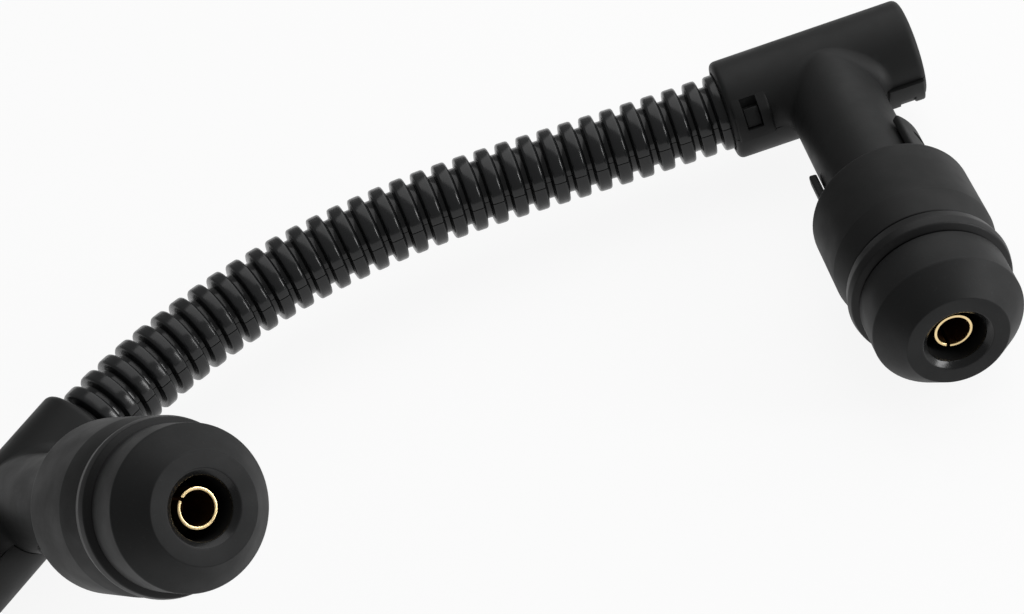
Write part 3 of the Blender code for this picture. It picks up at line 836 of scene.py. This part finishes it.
def place_ring(piece, rule):
    """Moves each selected point to where the rule sends its angle."""
    shape = bmesh.from_edit_mesh(piece.data)
    turns = shape.verts.layers.float["turn"]
    for point in shape.verts:
        if point.select:
            point.co = rule(point[turns]) * MM
    bmesh.update_edit_mesh(piece.data)


def neck_skin():
    """Neck and fillet, closed at the neck's end and inside the tee."""
    start_fresh()
    bpy.ops.mesh.primitive_circle_add(vertices=FINE_TURNS * 2, radius=NECK_R * MM, fill_type="NGON")
    piece = bpy.context.object
    piece.name = "neck"
    angles = piece.data.attributes.new("turn", "FLOAT", "POINT")
    for mark, point in zip(angles.data, piece.data.vertices):
        mark.value = math.atan2(point.co.y, point.co.x)
    edit(piece)
    place_ring(piece, lambda turn: neck_point(turn, 0))
    rules = [lambda turn, k=k: neck_point(turn, k) for k in NECK_SHARES]
    rules += [lambda turn, k=k: fillet_point(turn, k / ROOT_STEPS) for k in range(ROOT_STEPS + 1)]
    for rule in rules + [inner_point]:
        bpy.ops.mesh.extrude_region_move()
        place_ring(piece, rule)
    bpy.ops.mesh.select_all(action="SELECT")
    bpy.ops.mesh.normals_make_consistent(inside=False)
    leave_edit()
    return piece


# %% [markdown]
# ## Housing and cover
#
# Both halves start as the whole tee, so that they meet in one round. The housing
# takes the neck and loses what lies behind the split, and the cover loses what
# lies in front of it. The tongues are joined last, because they reach past the
# split and would be cut off with the rest.

# %% Housing: neck and front half of the tee
CATCH_ROUND = 0.15


def catch():
    """Ramp on the neck that holds one snap arm."""
    root = NECK_R - CATCH_HIGH / 2
    crest = NECK_R + CATCH_HIGH
    shoulder = window_low + FIT
    foot = shoulder + CATCH_LENGTH
    outline = [(shoulder, root), (shoulder, crest), (shoulder + CATCH_HIGH / 3, crest)]
    outline += [(foot, NECK_R), (foot, root)]
    ramp = pressed(outline, -CATCH_HALF, CATCH_HALF, CATCH_ROUND)
    swap = Matrix(((0, 0, 1, 0), (1, 0, 0, 0), (0, 1, 0, 0), (0, 0, 0, 1)))
    return settle(ramp, swap)


housing = tee_body()
carve(housing, neck_skin(), "UNION")
carve(housing, frame_block(TEE_INLET, FRONT_WINDOW), "UNION")
carve(housing, behind_housing())
carve(housing, tee_bore())
neck_bore = turned("neck_bore", rounded([
    (0, NECK_END + OVER, 0),
    (NECK_BORE_R, NECK_END + OVER, 0),
    (NECK_BORE_R, 0, 0),
    (0, 0, 0),
]))
carve(housing, neck_bore)
carve(housing, frame_pocket(TEE_INLET, FRONT_WINDOW))
carve(housing, frame_window(TEE_INLET, FRONT_WINDOW))
carve(housing, spun(tongue(TEE_OUTLET, REAR_WINDOW), 180), "UNION")
carve(housing, spun(barb(TEE_OUTLET, REAR_WINDOW), 180), "UNION")
for turn in (ARM_CENTRE, ARM_CENTRE + 180):
    carve(housing, spun(catch(), turn), "UNION")
set_down(housing, "housing", housing_black)

# %% Cover: rear half of the tee
cover = tee_body()
carve(cover, spun(frame_block(TEE_OUTLET, REAR_WINDOW), 180), "UNION")
carve(cover, before_cover())
carve(cover, tee_bore())
notch = turned("notch", rounded([
    (0, REACH, 0),
    (NECK_R + SPLIT_GAP, REACH, 0),
    (NECK_R + SPLIT_GAP, -FIT / 2, 0),
    (0, -FIT / 2, 0),
]))
carve(cover, notch)
carve(cover, spun(frame_pocket(TEE_OUTLET, REAR_WINDOW), 180))
carve(cover, spun(frame_window(TEE_OUTLET, REAR_WINDOW), 180))
carve(cover, tongue(TEE_INLET, FRONT_WINDOW), "UNION")
carve(cover, barb(TEE_INLET, FRONT_WINDOW), "UNION")
set_down(cover, "cover", housing_black)

# %% [markdown]
# ## The terminal
#
# The terminal is rolled from brass strip, so its sleeve has a slit where the
# edges of the strip meet, and its mouth is slightly flared to lead the pin in. A
# flat strip could be bent round, but a spun sleeve with a bar cut out of it has
# cleaner edges. The rim keeps bright brass. The rest is rougher and takes a darker
# brass, which is painted shade for the depth of the nose's recess.

# %% Terminal
BARREL_R = 2.15
BARREL_BORE_R = 1.55
BARREL_BACK = 49.0
STEP_LENGTH = 0.6
FLARE = 0.1
FLARE_LENGTH = 0.5
BRIGHT_LENGTH = 0.3
SLIT_HALF = 0.28
SLIT_START = 0.3
TERMINAL_TURNS = 64
terminal = turned("terminal", rounded([
    (0, TERMINAL_FLOOR, 0),
    (TERMINAL_BORE_R, TERMINAL_FLOOR, 0.2),
    (TERMINAL_BORE_R, TERMINAL_FRONT - FLARE_LENGTH, 0),
    (TERMINAL_BORE_R + FLARE, TERMINAL_FRONT, 0.1),
    (TERMINAL_R, TERMINAL_FRONT, 0.12),
    (TERMINAL_R, TERMINAL_BACK, 0.3),
    (BARREL_R, TERMINAL_BACK - STEP_LENGTH, 0.3),
    (BARREL_R, BARREL_BACK, 0.1),
    (BARREL_BORE_R, BARREL_BACK, 0.1),
    (BARREL_BORE_R, TERMINAL_BACK, 0),
    (0, TERMINAL_BACK, 0),
]), TERMINAL_TURNS)
carve(terminal, bar(
    (0, -SLIT_HALF, TERMINAL_FLOOR + SLIT_START),
    (TERMINAL_R + OVER, SLIT_HALF, TERMINAL_FRONT + OVER),
))
# Faces behind the rim take the darker brass as painted shade of the recess; only the rim's front keeps
# bright brass
terminal.data.materials.append(brass)
terminal.data.materials.append(brass_painted_shade)
for face in terminal.data.polygons:
    face.material_index = 0 if face.center.z > (TERMINAL_FRONT - BRIGHT_LENGTH) * MM else 1
set_down(terminal, "terminal", None, TERMINAL_SPIN)

# %% [markdown]
# ## The loom
#
# The loom is a thin blown tube of flat-topped rings, slit along its length so
# that wires can be laid into it. An array of single rings would leave a seam at
# each of them. So the loom is drawn straight and whole: the profile of all rings
# is extruded along X, spun almost all the way round so that the slit stays open,
# given its wall, and then bent along the same route as in the CAD.

# %% The loom's route between the tees
CONDUIT_R = 6.41
CONDUIT_WALL = 0.45
CREST_WIDTH = 2.1
GROOVE_DEPTH = 1.5
GROOVE_SLOPE = 0.3
PITCH_WANTED = 3.6
SLIT_WIDTH = 0.15
SLIT_TURN = math.radians(81)
CONDUIT_STOP = 9.5
MID_KNOT = Vector((-8.4, 40.4, 13.8)) * MM
MID_COURSE = Vector((0.9978, -0.0688, 0.0194)).normalized()
LEFT_HANDLE = 7.2 * MM
MID_HANDLE_LEFT = 23.7 * MM
MID_HANDLE_RIGHT = 22.2 * MM
RIGHT_HANDLE = 33.3 * MM


def route():
    """Knots of the route as (handle, point, handle)."""
    left, right = HEADS["left"], HEADS["right"]
    start = left @ Vector((CONDUIT_STOP * MM, 0, 0))
    left_mouth = left @ Vector((TEE_OUTLET * MM, 0, 0))
    right_mouth = right @ Vector((-TEE_INLET * MM, 0, 0))
    end = right @ Vector((-CONDUIT_STOP * MM, 0, 0))
    out = (left_mouth - start).normalized()
    into = (end - right_mouth).normalized()
    return [
        (start - out * MM, start, start.lerp(left_mouth, 1 / 3)),
        (start.lerp(left_mouth, 2 / 3), left_mouth, left_mouth + out * LEFT_HANDLE),
        (MID_KNOT - MID_COURSE * MID_HANDLE_LEFT, MID_KNOT, MID_KNOT + MID_COURSE * MID_HANDLE_RIGHT),
        (right_mouth - into * RIGHT_HANDLE, right_mouth, right_mouth.lerp(end, 1 / 3)),
        (right_mouth.lerp(end, 2 / 3), end, end + into * MM),
    ]


def route_guide():
    """Bezier curve that bends the loom."""
    curve = bpy.data.curves.new("loom_route", "CURVE")
    curve.dimensions = "3D"
    curve.resolution_u = 48
    curve.twist_mode = "Z_UP"
    spline = curve.splines.new("BEZIER")
    knots = route()
    spline.bezier_points.add(len(knots) - 1)
    for point, (before, here, after) in zip(spline.bezier_points, knots):
        point.handle_left_type = "FREE"
        point.handle_right_type = "FREE"
        point.co = here
        point.handle_left = before
        point.handle_right = after
    guide = bpy.data.objects.new("loom_route", curve)
    bpy.context.scene.collection.objects.link(guide)
    return guide


guide = route_guide()
loom_length = sum(s.calc_length() for s in guide.data.splines) / MM
rings = round((loom_length - CREST_WIDTH) / PITCH_WANTED) + 1
pitch = (loom_length - CREST_WIDTH) / (rings - 1)
print(f"loom: {loom_length:.1f} mm with {rings} rings")

# %% Profile of the rings, without the two points that only end it
ROOT_R = CONDUIT_R - GROOVE_DEPTH
CREST_ROUND = 0.55
GROOVE_ROUND = 0.25
PROFILE_STEPS = 3
corners = [(ROOT_R, -1, 0)]
for number in range(rings):
    at = number * pitch
    if number > 0:
        corners.append((ROOT_R, at - GROOVE_SLOPE, GROOVE_ROUND))
    corners.append((CONDUIT_R, at, CREST_ROUND))
    corners.append((CONDUIT_R, at + CREST_WIDTH, CREST_ROUND))
    if number < rings - 1:
        corners.append((ROOT_R, at + CREST_WIDTH + GROOVE_SLOPE, GROOVE_ROUND))
corners.append((ROOT_R, loom_length + 1, 0))
profile = rounded(corners, PROFILE_STEPS)[1:-1]
print("loom profile:", len(profile), "points")

# %% The straight loom, spun from its profile
LOOM_TURNS = 56
opening = SLIT_WIDTH / CONDUIT_R
lip = SLIT_TURN + opening / 2
steps = [(there[1] - here[1], 0, there[0] - here[0]) for here, there in zip(profile, profile[1:])]
loom = drawn("loom", (profile[0][1], 0, profile[0][0]), steps)
leave_edit()
settle(loom, Matrix.Rotation(lip, 4, "X"))
edit(loom)
bpy.ops.mesh.spin(steps=LOOM_TURNS, angle=math.tau - opening, center=(0, 0, 0), axis=(1, 0, 0))
bpy.ops.mesh.select_all(action="SELECT")
bpy.ops.mesh.normals_make_consistent(inside=False)
leave_edit()

# %% One lip of the slit tucked in, then the wall and the bend
TUCK = 0.03
TUCK_TURN = math.radians(42)
LOOM_SMOOTH = math.radians(50)
for point in loom.data.vertices:
    turn = (math.atan2(-point.co.y, point.co.z) - SLIT_TURN) % math.tau
    if turn < TUCK_TURN:
        drawn_in = 1 - TUCK * (1 - turn / TUCK_TURN) ** 2
        point.co.y *= drawn_in
        point.co.z *= drawn_in
modify(loom, "SOLIDIFY", thickness=CONDUIT_WALL * MM, offset=-1, use_even_offset=True)
modify(loom, "CURVE", object=guide, deform_axis="POS_X")
bpy.data.objects.remove(guide, do_unlink=True)
shade(loom, LOOM_SMOOTH)
finish_piece(loom, "conduit", loom_black)

# %% [markdown]
# ## Materials for the CAD nodes that stay
#
# The end plug, the wiring and the grommets hardly show, so their CAD shapes stay
# and only take better materials.

# %% Dress the rest
KEPT = {
    "right_end_plug": housing_black,
    "trunk_wire": insulation,
    "left_lead": insulation,
    "right_lead": insulation,
    "left_splice": shrink,
    "right_splice": shrink,
    "left_wire_seal": silicone,
    "right_wire_seal": silicone,
}
for name, material in KEPT.items():
    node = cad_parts[name]
    if not node.material_slots:
        node.data.materials.append(material)
    for holder in node.material_slots:
        holder.material = material
print("dressed", len(KEPT), "CAD nodes")

# %% [markdown]
# ## Stage and light
#
# The photograph is a product shot on white. The floor is pale and catches a soft
# shadow. More light would whiten it but grey the black plastic too. So the floor's
# own material lifts what the camera and the reflections see of it towards white,
# and a large key lamp, a narrow strip and a weak fill draw the plastic's edges.

# %% Floor
FLOOR_SIZE = 6
FLOOR_LIFT = 0.9
start_fresh()
bpy.ops.mesh.primitive_plane_add(size=FLOOR_SIZE, location=(0, 0, 0))
floor = bpy.context.object
floor.name = "floor"
paper = bpy.data.materials.new("paper")
paper.use_nodes = True
tree = paper.node_tree
matte = tree.nodes["Principled BSDF"]
set_inputs(matte, Base_Color=(0.86, 0.86, 0.86, 1), Roughness=0.9)
white = add_node(tree, "ShaderNodeEmission")
set_inputs(white, Color=(1, 1, 1, 1), Strength=1.0)
rays = add_node(tree, "ShaderNodeLightPath")
seen = rays.outputs["Is Camera Ray"]
for kind in ("Is Glossy Ray", "Is Transmission Ray"):
    either = add_node(tree, "ShaderNodeMath", operation="MAXIMUM")
    tree.links.new(seen, either.inputs[0])
    tree.links.new(rays.outputs[kind], either.inputs[1])
    seen = either.outputs[0]
share = add_node(tree, "ShaderNodeMath", operation="MULTIPLY")
share.inputs[1].default_value = FLOOR_LIFT
blend = add_node(tree, "ShaderNodeMixShader")
tree.links.new(seen, share.inputs[0])
tree.links.new(share.outputs[0], blend.inputs["Fac"])
tree.links.new(matte.outputs[0], blend.inputs[1])
tree.links.new(white.outputs[0], blend.inputs[2])
tree.links.new(blend.outputs[0], tree.nodes["Material Output"].inputs["Surface"])
floor.data.materials.append(paper)


# %% Lights
def soft_box(name, place, target, size, power):
    """Rectangular area lamp aimed at a point."""
    data = bpy.data.lights.new(name, "AREA")
    data.shape = "RECTANGLE"
    data.size, data.size_y = size
    data.energy = power
    lamp = bpy.data.objects.new(name, data)
    lamp.location = place
    aim = Vector(target) - Vector(place)
    lamp.rotation_euler = aim.to_track_quat("-Z", "Y").to_euler()
    bpy.context.scene.collection.objects.link(lamp)


SKY_STRENGTH = 0.27
soft_box("key", (0.62, 0.25, 0.85), (0, 0, 0), (1.4, 1.4), 8.2)
soft_box("strip", (0.68, -0.56, 0.26), (0, 0, 0), (0.22, 0.5), 3.8)
soft_box("fill", (0.42, -0.04, 0.12), (0.08, 0.0, 0.03), (0.35, 0.2), 0.25)
world = bpy.data.worlds.new("studio")
bpy.context.scene.world = world
world.use_nodes = True
set_inputs(world.node_tree.nodes["Background"], Color=(1, 1, 1, 1), Strength=SKY_STRENGTH)
bpy.context.scene.view_settings.view_transform = "Standard"
print("lamps:", len(bpy.data.lights))
